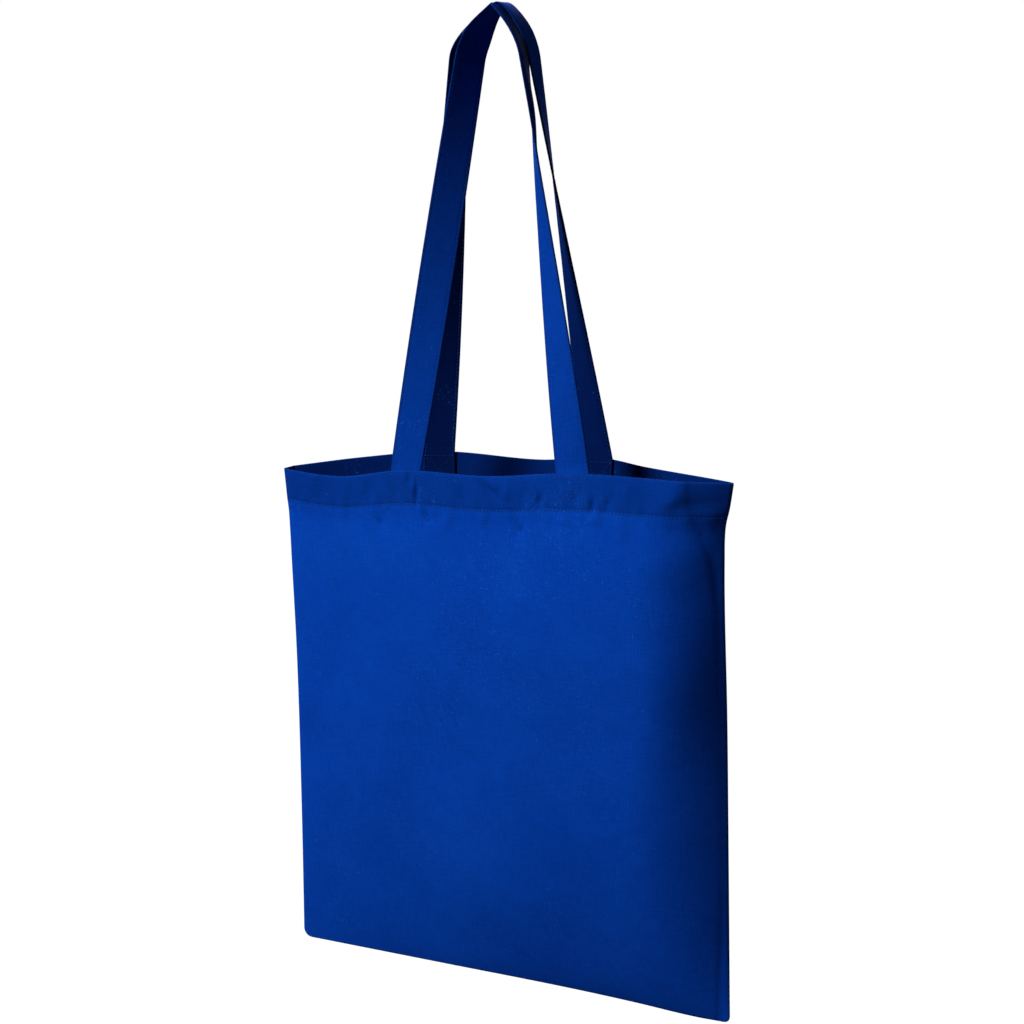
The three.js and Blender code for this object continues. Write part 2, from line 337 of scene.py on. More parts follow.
def back_relief(x, height):
    """Small folds of the back panel, as its distance out."""
    relief = sewing_relief(x, height, back_puckers)
    folds = 1.1 * mm * soft_folds(x, height, 0.07, 0.21, 8.4)
    return relief + folds * sin(pi * height / bag_height)


def open_share(across):
    """How far the rim stands open, as a share of what it does by the handles."""
    return (1 - across ** 2) / (1 - (handle_spacing / mouth_width) ** 2)


def swell_share(share):
    """How much of the swell there is at a share of the height: none at the fold and the rim."""
    return abs(sin(pi * share)) ** 0.8


def front_depth(across, height):
    """How far the front stands out: an even curve, and past turn_start the turn back to the seam."""
    share = height / bag_height
    turn_at = turn_start(share)
    place = min(across, turn_at)
    bluntness = 0.2 - 0.15 * smooth_share(place, 0, 0.5)
    belly = 1 - (abs(place - fullest_place) / fullest_reach) ** 1.6
    swell = front_swell * (1 - flatter_by * exp(-((share - flatter_height) / flatter_reach) ** 2))
    depth = front_open * open_share(place) ** bluntness * share + swell * belly * swell_share(share)
    past_turn = max(0, across - turn_at) / (1 - turn_at)
    bend = min(1, past_turn / hem_bend)
    straight = max(0, past_turn - hem_bend)
    hem_turn = (hem_bend * (bend ** 3 - bend ** 4 / 2) + straight) / (1 - hem_bend / 2)
    at_hem = smooth_share(share, hem_turn_start, hem_turn_end)
    return depth * (1 - past_turn ** 2 * (1 - at_hem) - hem_turn * at_hem)


def back_depth(across, height):
    """How far the back stands out: most at the rim, in an even curve from seam to seam."""
    share = height / bag_height
    swell = back_swell * (1 - abs(across) ** 6) * swell_share(share)
    return back_open * open_share(across) * share + swell


def panel_depth(side, across, height):
    """Distance of a panel's outer face from the seams' plane. The side is -1 in front, 1 behind."""
    x = across * half_width(across, height)
    from_edge = (1 - abs(across)) * half_width(across, height)
    edge = sqrt(1 - max(0, 1 - from_edge / seam_edge) ** 2)
    fold = sqrt(1 - max(0, 1 - height / fold_radius) ** 2)
    flat_margin = smooth_share(from_edge, 0, sewn_margin)
    shape, relief = (front_depth, front_relief) if side < 0 else (back_depth, back_relief)
    depth = shape(across, height) + relief(x, height) * flat_margin
    cloth = layers_half(height) * max(least_edge, edge) * max(least_fold, fold)
    return max(least_depth, depth + cloth)


def panel_point(side, across, height, inward=0.0):
    """A point of a panel's outer face, or of the face that lies inward by a thickness."""
    depth = panel_depth(side, across, height)
    if inward:
        step, steepest = 3 * mm, 1.5
        across_step = step / half_width(across, height)
        inner = max(-1 + 2 * across_step, min(1 - 2 * across_step, across))
        level = min(max(height, step), bag_height - step)
        right = panel_depth(side, inner + across_step, level)
        left = panel_depth(side, inner - across_step, level)
        above, below = panel_depth(side, inner, level + step), panel_depth(side, inner, level - step)
        slope = hypot(1, min(steepest, hypot(right - left, above - below) / (2 * step)))
        depth = max(panel_clearance, depth - inward * slope)
    share = height / bag_height
    lift = (front_lift if side < 0 else back_lift)(across) * mm * share ** 3
    drop = fold_drop(across) * mm * (1 - share) ** 4
    return Vector((
        bag_middle + across * half_width(across, height), side * depth, fold_z + height + lift - drop,
    ))


def stepped(start, end, step):
    """Even steps from start to end, both included."""
    count = max(1, round(abs(end - start) / step))
    return [start + (end - start) * k / count for k in range(count + 1)]


def loft_mesh(name, rings, widths, lengths, shares):
    """A closed skin between rings of equal point count, with its cloth laid out flat as the UV map.
    widths are the places round a ring and lengths those along the cloth. shares holds, by name, a
    number for each point of each ring."""
    count = len(rings[0])
    faces, corners = [], []
    for r in range(len(rings) - 1):
        here, there = r * count, (r + 1) * count
        for k in range(count):
            after = (k + 1) % count
            faces.append((here + k, here + after, there + after, there + k))
            corners += [(widths[k], lengths[r]), (widths[k + 1], lengths[r]),
                        (widths[k + 1], lengths[r + 1]), (widths[k], lengths[r + 1])]
    last = (len(rings) - 1) * count
    for k in range(count // 2 - 1):
        across_from = count - 1 - k
        faces.append((k, across_from, across_from - 1, k + 1))
        corners += [(widths[k], lengths[0]), (widths[k], lengths[0] - mm),
                    (widths[k + 1], lengths[0] - mm), (widths[k + 1], lengths[0])]
        faces.append((last + k, last + k + 1, last + across_from - 1, last + across_from))
        corners += [(widths[k], lengths[-1]), (widths[k + 1], lengths[-1]),
                    (widths[k + 1], lengths[-1] + mm), (widths[k], lengths[-1] + mm)]
    mesh = bpy.data.meshes.new(name)
    mesh.from_pydata([point for ring in rings for point in ring], [], faces)
    flat = mesh.uv_layers.new(name="flat_cloth")
    for k, corner in enumerate(corners):
        flat.data[k].uv = corner
    for share_name, numbers in shares.items():
        share = mesh.attributes.new(share_name, "FLOAT", "POINT")
        for k in range(len(mesh.vertices)):
            share.data[k].value = numbers[k // count][k % count]
    mesh.polygons.foreach_set("use_smooth", [True] * len(mesh.polygons))
    mesh.update()
    piece = bpy.data.objects.new(name, mesh)
    scene.collection.objects.link(piece)
    return piece


# Places across a panel, closer together at the seams
edge_places = [0, 0.25 * mm, 0.7 * mm, 1.3 * mm, 2.2 * mm, 3.6 * mm, 5.5 * mm]
half_bag = bag_width / 2
left_places = [-1 + place / half_bag for place in edge_places]
even_half = half_bag - edge_places[-1]
across_places = (
    left_places[:-1]
    + [x / half_bag for x in stepped(-even_half, even_half, column_step)]
    + [-place for place in reversed(left_places[:-1])]
)

# The cloth's rows, as the height of each and how far inward it lies: up the outside, over the rim,
# down the inside of the hem, round the hem's lower edge, and down to the fold
rim_start = bag_height - rim_radius
rows = [(place * mm, 0) for place in (0, 0.3, 0.8, 1.5, 2.5, 4, 6, 8, 11, 15)]
rows += [(height, 0) for height in stepped(even_rows_start, close_rows_start, row_step)]
rows += [(height, 0) for height in stepped(close_rows_start, rim_start, hem_row_step)[1:]]
for number in range(1, rim_steps):
    turn = radians(number * 180 / rim_steps)
    rows.append((bag_height - rim_radius * (1 - sin(turn)), rim_radius * (1 - cos(turn))))
rows += [(height, hem_thickness) for height in stepped(rim_start, hem_start + 0.8 * mm, 3 * mm)]
rows += [(hem_start + 0.2 * mm, 1.5 * mm), (hem_start, 1.1 * mm), (hem_start, cloth_thickness)]
rows += [(height, cloth_thickness) for height in stepped(hem_start - 2 * mm, 4 * mm, inside_row_step)]
rows.append((1.6 * mm, cloth_thickness))

bag_rings, cloth_lengths, hem_shade_shares, worn_shares, inner_shade_shares = [], [], [], [], []
cloth_length = 0
for number, (height, inward) in enumerate(rows):
    if number:
        cloth_length += hypot(height - rows[number - 1][0], inward - rows[number - 1][1])
    inset = 1 - inner_inset / half_bag * min(1, inward / cloth_thickness)
    places = [inset * across for across in across_places]
    front = [panel_point(-1, across, height, inward) for across in places]
    back = [panel_point(1, across, height, inward) for across in reversed(places)]
    bag_rings.append(front + back)
    cloth_lengths.append(cloth_length)
    # Painted shade: this share darkens the three-layer hem, as if less light came through it
    hem_share = smooth_share(height, hem_start - 0.3 * mm, hem_start + 2.5 * mm)
    near_rim = rim_wear * exp(-((bag_height - height) / rim_wear_reach) ** 2)
    if inward >= hem_thickness:
        near_rim = 0
    near_fold = exp(-(height / edge_wear_reach) ** 2)
    hem_shade_shares.append([hem_share] * (2 * len(places)))
    # Painted shade: this share darkens the inside of the bag
    inner_shade_shares.append([min(1, inward / rim_radius / 2)] * (2 * len(places)))
    from_seams = [(1 - abs(across)) * half_bag for across in places]
    wear_and_shade_row = [
        max(near_rim, near_fold, exp(-(from_seam / edge_wear_reach) ** 2)) for from_seam in from_seams
    ]
    worn_shares.append(wear_and_shade_row + wear_and_shade_row[::-1])
front_widths = [across * half_bag for across in across_places]
bag_widths = front_widths + [bag_width - width for width in reversed(front_widths)]
bag_widths.append(front_widths[0] + 2 * bag_width)
bag_cloth_piece = loft_mesh(
    "cotton_body", bag_rings, bag_widths, cloth_lengths,
    {"hem": hem_shade_shares, "wear_and_edge_shade": worn_shares, "inner": inner_shade_shares},
)


# The cotton's textures, by how often they repeat in a metre, and the share of each in its tone
mottle_scale, cloud_scale, fleck_scale = 75, 13, 130
fibre_scale, break_scale, patch_scale = 290, 420, 17
grain_part, mottle_part, cloud_part, weave_part, cloud_base = 0.64, 0.18, 0.45, 0.03, 0.3

# The lint: curled fibres, which are kept where the noises pass these values, and small round flecks
fibre_width, fibre_breaks, fibre_patches, fibre_strength = 0.020, 0.53, 0.585, 0.30
fleck_radius, flecks_left_out, fleck_strength = 0.1, 0.86, 0.2
lint_near, lint_far, lint_gathered = 0.03, 0.14, 0.12
fibre_colour, fleck_colour = (0.010, 0.105, 0.560, 1), (0.03, 0.14, 0.60, 1)


def cotton_material(
    name, dark, middle, light, hem_and_seat_shade, wear_and_edge_shade, inner, rub_and_shade_strength, thread, slub_length, lint_middle,
):
    """Dyed plain-woven cotton: crossing threads, slubs both ways, a soft mottle, pale flecks of lint,
    painted shade on the three-layer hem, the handles' sewn ends and the inner face, and a colour along
    the edges that is paler for wear on the bag and near-black as painted shade on the handles."""
    material = bpy.data.materials.new(name)
    material.use_nodes = True
    nodes, links = material.node_tree.nodes, material.node_tree.links
    cotton = nodes["Principled BSDF"]
    cotton.inputs["Roughness"].default_value = 0.93
    cotton.inputs["Specular IOR Level"].default_value = 0.02
    cotton.inputs["Sheen Weight"].default_value = 0.10
    cotton.inputs["Sheen Roughness"].default_value = 0.45
    cotton.inputs["Sheen Tint"].default_value = (0, 0.13, 1, 1)

    def math(operation, first, second=None, third=None):
        node = nodes.new("ShaderNodeMath")
        node.operation = operation
        for socket, value in zip(node.inputs, (first, second, third)):
            if isinstance(value, (int, float)):
                socket.default_value = value
            elif value is not None:
                links.new(value, socket)
        return node.outputs[0]

    def blended(share, first, second, way="MIX"):
        node = nodes.new("ShaderNodeMix")
        node.data_type = "RGBA"
        node.blend_type = way
        for number, value in ((0, share), (6, first), (7, second)):
            socket = node.inputs[number]
            if isinstance(value, tuple):
                socket.default_value = value
            else:
                links.new(value, socket)
        return node.outputs[2]

    flat = nodes.new("ShaderNodeUVMap")
    flat.uv_map = "flat_cloth"
    places = nodes.new("ShaderNodeSeparateXYZ")
    links.new(flat.outputs[0], places.inputs[0])
    width_wave = math("SINE", math("MULTIPLY", places.outputs[0], pi / thread))
    length_wave = math("SINE", math("MULTIPLY", places.outputs[1], pi / thread))
    weave = math("MULTIPLY", width_wave, length_wave)

    def slubs(across_size, along_size, seed):
        stretch = nodes.new("ShaderNodeMapping")
        stretch.inputs["Scale"].default_value = (1 / across_size, 1 / along_size, 1)
        stretch.inputs["Location"].default_value = (seed, seed * 1.7, 0)
        links.new(flat.outputs[0], stretch.inputs[0])
        grain = nodes.new("ShaderNodeTexNoise")
        grain.noise_dimensions = "2D"
        grain.inputs["Scale"].default_value = 1
        grain.inputs["Detail"].default_value = 2
        links.new(stretch.outputs[0], grain.inputs["Vector"])
        return grain.outputs[0]

    warp_slubs = slubs(2 * thread, slub_length, 3.1)
    weft_slubs = slubs(slub_length, 2 * thread, 9.4)
    grain = math("MULTIPLY", math("ADD", warp_slubs, weft_slubs), 0.5)

    body = nodes.new("ShaderNodeTexCoord")

    def soft_noise(scale, detail):
        node = nodes.new("ShaderNodeTexNoise")
        node.inputs["Scale"].default_value = scale
        node.inputs["Detail"].default_value = detail
        links.new(body.outputs["Object"], node.inputs["Vector"])
        return node.outputs[0]

    mottle = soft_noise(mottle_scale, 3)
    clouds = soft_noise(cloud_scale, 2)
    tone = math("ADD", math("MULTIPLY", grain, grain_part), math("MULTIPLY", mottle, mottle_part))
    tone = math("ADD", tone, math("MULTIPLY", math("SUBTRACT", clouds, cloud_base), cloud_part))
    tone = math("ADD", tone, math("MULTIPLY", weave, weave_part))
    ramp = nodes.new("ShaderNodeValToRGB")
    ramp.color_ramp.elements[0].position = 0.34
    ramp.color_ramp.elements[0].color = dark
    ramp.color_ramp.elements[1].position = 0.66
    ramp.color_ramp.elements[1].color = light
    ramp.color_ramp.elements.new(0.5).color = middle
    links.new(tone, ramp.inputs[0])

    def cloth_share(share_name):
        node = nodes.new("ShaderNodeAttribute")
        node.attribute_name = share_name
        return node.outputs["Fac"]

    # Painted shade: the colour is multiplied darker on the three-layer hem and on the handles' sewn
    # ends
    colour = blended(cloth_share("hem"), ramp.outputs[0], hem_and_seat_shade, "MULTIPLY")
    # Painted shade: the inner face is multiplied darker
    colour = blended(cloth_share("inner"), colour, inner, "MULTIPLY")
    # Along the edges: on the bag a paler colour for wear, on the handles a near-black colour that is
    # painted shade
    rub_and_shade_share = math("MULTIPLY", cloth_share("wear_and_edge_shade"), math("MULTIPLY", mottle, rub_and_shade_strength))
    colour = blended(rub_and_shade_share, colour, wear_and_edge_shade)

    fibre, broken = soft_noise(fibre_scale, 1), soft_noise(break_scale, 2)
    patch = soft_noise(patch_scale, 4)
    gathered = nodes.new("ShaderNodeVectorMath")
    gathered.operation = "DISTANCE"
    gathered.inputs[1].default_value = lint_middle
    links.new(body.outputs["Object"], gathered.inputs[0])
    near = nodes.new("ShaderNodeMapRange")
    near.inputs["From Min"].default_value = lint_near
    near.inputs["From Max"].default_value = lint_far
    near.inputs["To Min"].default_value = lint_gathered
    near.inputs["To Max"].default_value = 0
    links.new(gathered.outputs["Value"], near.inputs["Value"])
    curl = math("LESS_THAN", math("ABSOLUTE", math("SUBTRACT", fibre, 0.5)), fibre_width)
    curl = math("MULTIPLY", curl, math("GREATER_THAN", broken, fibre_breaks))
    in_patch = math("GREATER_THAN", math("ADD", patch, near.outputs[0]), fibre_patches)
    curl = math("MULTIPLY", curl, in_patch)
    colour = blended(math("MULTIPLY", curl, fibre_strength), colour, fibre_colour)
    lint = nodes.new("ShaderNodeTexVoronoi")
    lint.inputs["Scale"].default_value = fleck_scale
    links.new(body.outputs["Object"], lint.inputs["Vector"])
    chosen = nodes.new("ShaderNodeSeparateColor")
    links.new(lint.outputs["Color"], chosen.inputs[0])
    fleck = math("MULTIPLY", math("LESS_THAN", lint.outputs["Distance"], fleck_radius),
                 math("GREATER_THAN", chosen.outputs[0], flecks_left_out))
    colour = blended(math("MULTIPLY", fleck, fleck_strength), colour, fleck_colour)
    links.new(colour, cotton.inputs["Base Color"])

    height = math("ADD", math("MULTIPLY", weave, 0.5), math("MULTIPLY", grain, 1.6))
    bump = nodes.new("ShaderNodeBump")
    bump.inputs["Strength"].default_value = 0.55
    bump.inputs["Distance"].default_value = 0.12 * mm
    links.new(height, bump.inputs["Height"])
    links.new(bump.outputs[0], cotton.inputs["Normal"])
    return material


# The bag's hem and inner face get painted shade; the paler colour along rim, seams and fold is wear
bag_cloth_piece.data.materials.append(cotton_material(
    "bag_cotton",
    dark=(0.0006, 0.036, 0.305, 1), middle=(0.0009, 0.043, 0.350, 1), light=(0.0013, 0.051, 0.395, 1),
    hem_and_seat_shade=(0.65, 0.65, 0.63, 1), wear_and_edge_shade=(0.003, 0.066, 0.440, 1), inner=(0.42, 0.44, 0.46, 1),
    rub_and_shade_strength=0.55, thread=0.55 * mm, slub_length=11 * mm, lint_middle=(0.045, -0.04, -0.475),
))
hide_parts("bag_body")
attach(bag_cloth_piece, "root")


# ---- Handles ----------------------------------------------------------------------------------
# Two strips of the same cotton, each folded to four layers, 26.5 mm wide, and sewn along both edges.
# Their ends are sewn inside the hem; each turns on its way up to lie edge-on over the hook, the back
# handle over the front one.
handle_width, handle_thickness, handle_overlap = 26.5 * mm, 1.6 * mm, 27 * mm
touch_gap, crest_gap, hook_radius = 0.5 * mm, 2.8 * mm, 2.5 * mm
quick_turn_length, tilt_length = 30 * mm, 25 * mm
cup_place, cup_reach = 84 * mm, 28 * mm
leg_rows, seat_rows = 96, 10
handle_half = handle_width / 2

# A strip's rounded edges, the grooves at its edge rows, the puffs between their stitches, how far in
# along its edges the painted shade reaches, and how much painted shade darkens its sewn ends
edge_rounding, least_half = 1.1 * mm, 0.12 * mm
edge_row, row_groove_depth, row_groove_width = 2.2 * mm, 0.16 * mm, 0.6 * mm
puff_height, puff_length, puff_width = 0.05 * mm, 1.1 * mm, 1.8 * mm
strip_shade_reach, seat_shade = 0.9 * mm, 0.55

# Places across a strip, closer together at its edges
strip_insets = [inset * mm for inset in (0, 0.15, 0.45, 0.9, 1.5, 1.9, 2.2, 2.5, 3.0, 4.2, 7, 10)]
strip_places = [-1 + inset / handle_half for inset in strip_insets]
strip_places += [0] + [-place for place in reversed(strip_places)]
strip_middle = len(strip_insets)
sewn_column = strip_insets.index(edge_row)
sewn_columns = {sewn_column: -1, 2 * strip_middle - sewn_column: 1}

# For each handle: its panel, how far its crest lies right, back and higher, the crest's turn in
# degrees and its tilt, and how far each leg is cupped where it comes to lie edge-on. For each leg: the
# half width, height and roundness of its arch, the share of its turn that it makes at once, and how
# the rest is spread.
front_handle = {
    "side": -1, "right": 0, "back": 0, "lift": 0,
    "turn": 87, "tilt": 0.14, "cup": {-1: 0, 1: 2.7 * mm},
    "legs": {-1: (16.1 * mm, 36.8 * mm, 1.2, 0.3, 1.1), 1: (15 * mm, 38.9 * mm, 1.2, 0, 1.1)},
}
back_handle = {
    "side": 1, "right": -1.8 * mm, "back": 10.4 * mm, "lift": handle_thickness + crest_gap,
    "turn": 90.8, "tilt": 0.2, "cup": {-1: 0, 1: 0},
    "legs": {-1: (32.5 * mm, 37.2 * mm, 1.3, -0.07, 0.97), 1: (19 * mm, 39 * mm, 0.82, -0.1, 1.25)},
}


def seat_point(handle, leg_side, place, height):
    """A point of a handle's sewn end, from one edge at -1 to the other at 1."""
    x = leg_side * handle_spacing / 2 + place * handle_half
    inward = hem_thickness + touch_gap + handle_thickness / 2
    return panel_point(handle["side"], x / half_width(leg_side, bag_height), height, inward)


def leg_line(handle, leg_side):
    """One leg from the crest down to the rim, as rows of points from one edge to the other."""
    arch_half, arch_height, arch_power, quick_turn, spread = handle["legs"][leg_side]
    seat = seat_point(handle, leg_side, 0, bag_height)
    seat_edge = seat_point(handle, leg_side, 1, bag_height) - seat
    seat_turn = atan2(seat_edge.y, seat_edge.x) + (pi if leg_side > 0 else 0)
    crest_z = handle_thickness / 2 + handle["lift"]
    fall = crest_z - seat.z
    lean = (leg_side * (seat.x - handle["right"]) - arch_half) / fall

    def rounded(drop):
        return sqrt(drop * (drop + 2 * hook_radius))

    centres = []
    for k in range(leg_rows + 1):
        drop = fall * (k / leg_rows) ** 2
        to_arch = 1 - min(1, rounded(drop) / rounded(arch_height))
        out = lean * drop + arch_half * (1 - to_arch ** 2) ** arch_power
        y = handle["back"] + (seat.y - handle["back"]) * drop / fall
        centres.append(Vector((handle["right"] + leg_side * out, y, crest_z - drop)))
    lengths = [0]
    for before, after in zip(centres, centres[1:]):
        lengths.append(lengths[-1] + (after - before).length)
    line = []
    for k, centre in enumerate(centres):
        along = Vector((-leg_side, 0, 0))
        if k:
            along = (centres[k - 1] - centres[min(leg_rows, k + 1)]).normalized()
        share = quick_turn * smooth_share(lengths[k], 0, quick_turn_length)
        share += (1 - quick_turn) * (lengths[k] / lengths[-1]) ** spread
        turn = radians(handle["turn"]) + (seat_turn - radians(handle["turn"])) * share
        width = Vector((cos(turn), sin(turn), handle["tilt"] * exp(-lengths[k] / tilt_length)))
        width = (width - along * width.dot(along)).normalized()
        outward = width.cross(along)
        outward *= 1 if outward.x * leg_side > 0 else -1
        cup = handle["cup"][leg_side] * exp(-((lengths[k] - cup_place) / cup_reach) ** 2)
        line.append([
            centre + width * (place * handle_half) + outward * (cup * (1 - place * place))
            for place in strip_places
        ])
    return line


def strip_relief(place, length):
    """Half the strip's thickness: rounded edges, grooves at the sewing, and puffs along them."""
    from_edge = (1 - abs(place)) * handle_half
    rounding = sqrt(1 - max(0, 1 - from_edge / edge_rounding) ** 2)
    from_row = from_edge - edge_row
    groove = row_groove_depth * exp(-(from_row / row_groove_width) ** 2)
    puff = puff_height * sin(length / puff_length) * exp(-(from_row / puff_width) ** 2)
    return max(least_half, handle_thickness / 2 * rounding) - groove + puff


def make_handle(name, handle):
    """The whole loop from sewn end to sewn end, the sewing lines of its two faces with their outward
    normals, and the length of strip up to each of its rows."""
    seat_heights = stepped(bag_height - handle_overlap, bag_height, handle_overlap / seat_rows)
    seats = {
        side: [[seat_point(handle, side, -side * place, height) for place in strip_places]
               for height in seat_heights]
        for side in (-1, 1)
    }
    left, right = leg_line(handle, -1)[::-1], leg_line(handle, 1)
    strip = seats[-1] + left[1:] + right[1:-1] + seats[1][::-1]
    lengths = [0]
    for before, after in zip(strip, strip[1:]):
        lengths.append(lengths[-1] + (after[strip_middle] - before[strip_middle]).length)
    rings, sewing = [], {(face, edge): [] for face in (-1, 1) for edge in (-1, 1)}
    for k, row in enumerate(strip):
        before, after = strip[max(0, k - 1)], strip[min(len(strip) - 1, k + 1)]
        along = after[strip_middle] - before[strip_middle]
        upper, lower = [], []
        for i, point in enumerate(row):
            across = row[min(len(row) - 1, i + 1)] - row[max(0, i - 1)]
            normal = along.cross(across).normalized()
            end_pinch = 1 if 0 < k < len(strip) - 1 else 0.5
            half = strip_relief(strip_places[i], lengths[k]) * end_pinch
            upper.append(point + normal * half)
            lower.append(point - normal * half)
            if i in sewn_columns:
                sewing[(1, sewn_columns[i])].append((upper[-1], normal))
                sewing[(-1, sewn_columns[i])].append((lower[-1], -normal))
        rings.append(upper[::-1] + lower)
    upper_widths = [-place * handle_half for place in reversed(strip_places)]
    lower_widths = [handle_width + width for width in upper_widths]
    widths = upper_widths + lower_widths + [2 * handle_width - handle_half]
    from_ends = [min(length, lengths[-1] - length) for length in lengths]
    # Painted shade on the sewn ends, where they lie inside the hem
    seat_shares = [smooth_share(handle_overlap - length, -1 * mm, 1.5 * mm) for length in from_ends]
    seat_shade_numbers = [[seat_shade * share] * len(rings[0]) for share in seat_shares]
    # Painted shade along the strip's edges
    wear_and_shade_row = [
        exp(-((1 - abs(place)) * handle_half / strip_shade_reach) ** 2) for place in strip_places
    ]
    edge_shade_numbers = [wear_and_shade_row[::-1] + wear_and_shade_row] * len(rings)
    seat_middle, beside = strip[0][strip_middle], strip[0][strip_middle + 1]
    seat_out = (strip[1][strip_middle] - seat_middle).cross(beside - seat_middle)
    # Painted shade: the strap's face that turns into the bag takes the darker inner colour
    upper_in = 0 if seat_out.y * handle["side"] > 0 else 1
    inner_shade_row = [upper_in] * len(strip_places) + [1 - upper_in] * len(strip_places)
    inner_shade_numbers = [inner_shade_row] * len(rings)
    piece = loft_mesh(
        name, rings, widths, lengths,
        {"hem": seat_shade_numbers, "wear_and_edge_shade": edge_shade_numbers, "inner": inner_shade_numbers},
    )
    return piece, sewing, lengths


front_strap, front_sewing, front_lengths = make_handle("front_strap", front_handle)
back_strap, back_sewing, back_lengths = make_handle("back_strap", back_handle)
# On the straps the near-black edge colour is painted shade, as are the darker sewn ends and inner face
handle_cotton = cotton_material(
    "handle_cotton",
    dark=(0.0005, 0.028, 0.232, 1), middle=(0.0007, 0.034, 0.274, 1), light=(0.0011, 0.040, 0.316, 1),
    hem_and_seat_shade=(0.72, 0.72, 0.70, 1), wear_and_edge_shade=(0.0004, 0.013, 0.100, 1), inner=(0.22, 0.23, 0.25, 1),
    rub_and_shade_strength=1.9, thread=0.55 * mm, slub_length=14 * mm, lint_middle=(0, 0.5, 0),
)
for strap, node in ((front_strap, "front_handle"), (back_strap, "back_handle")):
    strap.data.materials.append(handle_cotton)
    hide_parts(node)
    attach(strap, "root")


# ---- Stitching --------------------------------------------------------------------------------
# Lockstitch in blue thread, about eight stitches to the inch: one row round the hem, a square with a
# cross in it at each handle end, and a row along both edges of each handle, seen on both faces.
stitch_spacing, stitch_length = 3.0 * mm, 2.3 * mm
thread_width, thread_height = 0.50 * mm, 0.34 * mm
thread_lift = 0.10 * mm
box_top, box_bottom, box_inset = 3 * mm, hem_sewing, 1.5 * mm
box_steps, hem_row_reach, hem_row_places = 16, 0.985, 2 * mm
outer_end_depth, inner_end_lift = 0.07 * mm, 0.12 * mm

# One tree lays the stitches along every line: each is a small flat bead, turned along the line and
# out of the cloth, and a little uneven in size
stitch_row = bpy.data.node_groups.new("stitch_row", "GeometryNodeTree")
stitch_row.is_modifier = True
stitch_row.interface.new_socket("Geometry", in_out="INPUT", socket_type="NodeSocketGeometry")
stitch_inputs = {}
for socket_name, number in (
    ("Stitch spacing", stitch_spacing), ("Stitch length", stitch_length),
    ("Thread width", thread_width), ("Thread height", thread_height),
):
    socket = stitch_row.interface.new_socket(socket_name, in_out="INPUT", socket_type="NodeSocketFloat")
    stitch_inputs[socket.identifier] = number
thread_socket = stitch_row.interface.new_socket(
    "Thread", in_out="INPUT", socket_type="NodeSocketMaterial",
)
stitch_row.interface.new_socket("Geometry", in_out="OUTPUT", socket_type="NodeSocketGeometry")
nodes, links = stitch_row.nodes, stitch_row.links
given = nodes.new("NodeGroupInput")
line = nodes.new("GeometryNodeMeshToCurve")
points = nodes.new("GeometryNodeCurveToPoints")
points.mode = "LENGTH"
normal = nodes.new("GeometryNodeInputNamedAttribute")
normal.data_type = "FLOAT_VECTOR"
normal.inputs["Name"].default_value = "cloth_normal"
along = nodes.new("FunctionNodeAlignRotationToVector")
along.axis = "X"
upright = nodes.new("FunctionNodeAlignRotationToVector")
upright.axis = "Z"
upright.pivot_axis = "X"
size = nodes.new("ShaderNodeCombineXYZ")
vary = nodes.new("FunctionNodeRandomValue")
vary.data_type = "FLOAT_VECTOR"
vary.inputs[0].default_value = (0.9, 0.85, 0.85)
vary.inputs[1].default_value = (1.08, 1.12, 1.12)
vary.inputs["Seed"].default_value = 11
uneven = nodes.new("ShaderNodeVectorMath")
uneven.operation = "MULTIPLY"
stitch = nodes.new("GeometryNodeMeshUVSphere")
stitch.inputs["Segments"].default_value = 8
stitch.inputs["Rings"].default_value = 4
stitch.inputs["Radius"].default_value = 0.5
placed = nodes.new("GeometryNodeInstanceOnPoints")
solid = nodes.new("GeometryNodeRealizeInstances")
smooth = nodes.new("GeometryNodeSetShadeSmooth")
thread = nodes.new("GeometryNodeSetMaterial")
result = nodes.new("NodeGroupOutput")
links.new(given.outputs["Geometry"], line.inputs[0])
links.new(line.outputs[0], points.inputs["Curve"])
links.new(given.outputs["Stitch spacing"], points.inputs["Length"])
links.new(points.outputs["Tangent"], along.inputs["Vector"])
links.new(along.outputs[0], upright.inputs["Rotation"])
links.new(normal.outputs[0], upright.inputs["Vector"])
links.new(given.outputs["Stitch length"], size.inputs[0])
links.new(given.outputs["Thread width"], size.inputs[1])
links.new(given.outputs["Thread height"], size.inputs[2])
links.new(size.outputs[0], uneven.inputs[0])
links.new(vary.outputs[0], uneven.inputs[1])
links.new(points.outputs["Points"], placed.inputs["Points"])
links.new(stitch.outputs["Mesh"], placed.inputs["Instance"])
links.new(upright.outputs[0], placed.inputs["Rotation"])
links.new(uneven.outputs[0], placed.inputs["Scale"])
links.new(placed.outputs[0], solid.inputs[0])
links.new(solid.outputs[0], smooth.inputs[0])
links.new(smooth.outputs[0], thread.inputs["Geometry"])
links.new(given.outputs["Thread"], thread.inputs["Material"])
links.new(thread.outputs[0], result.inputs["Geometry"])


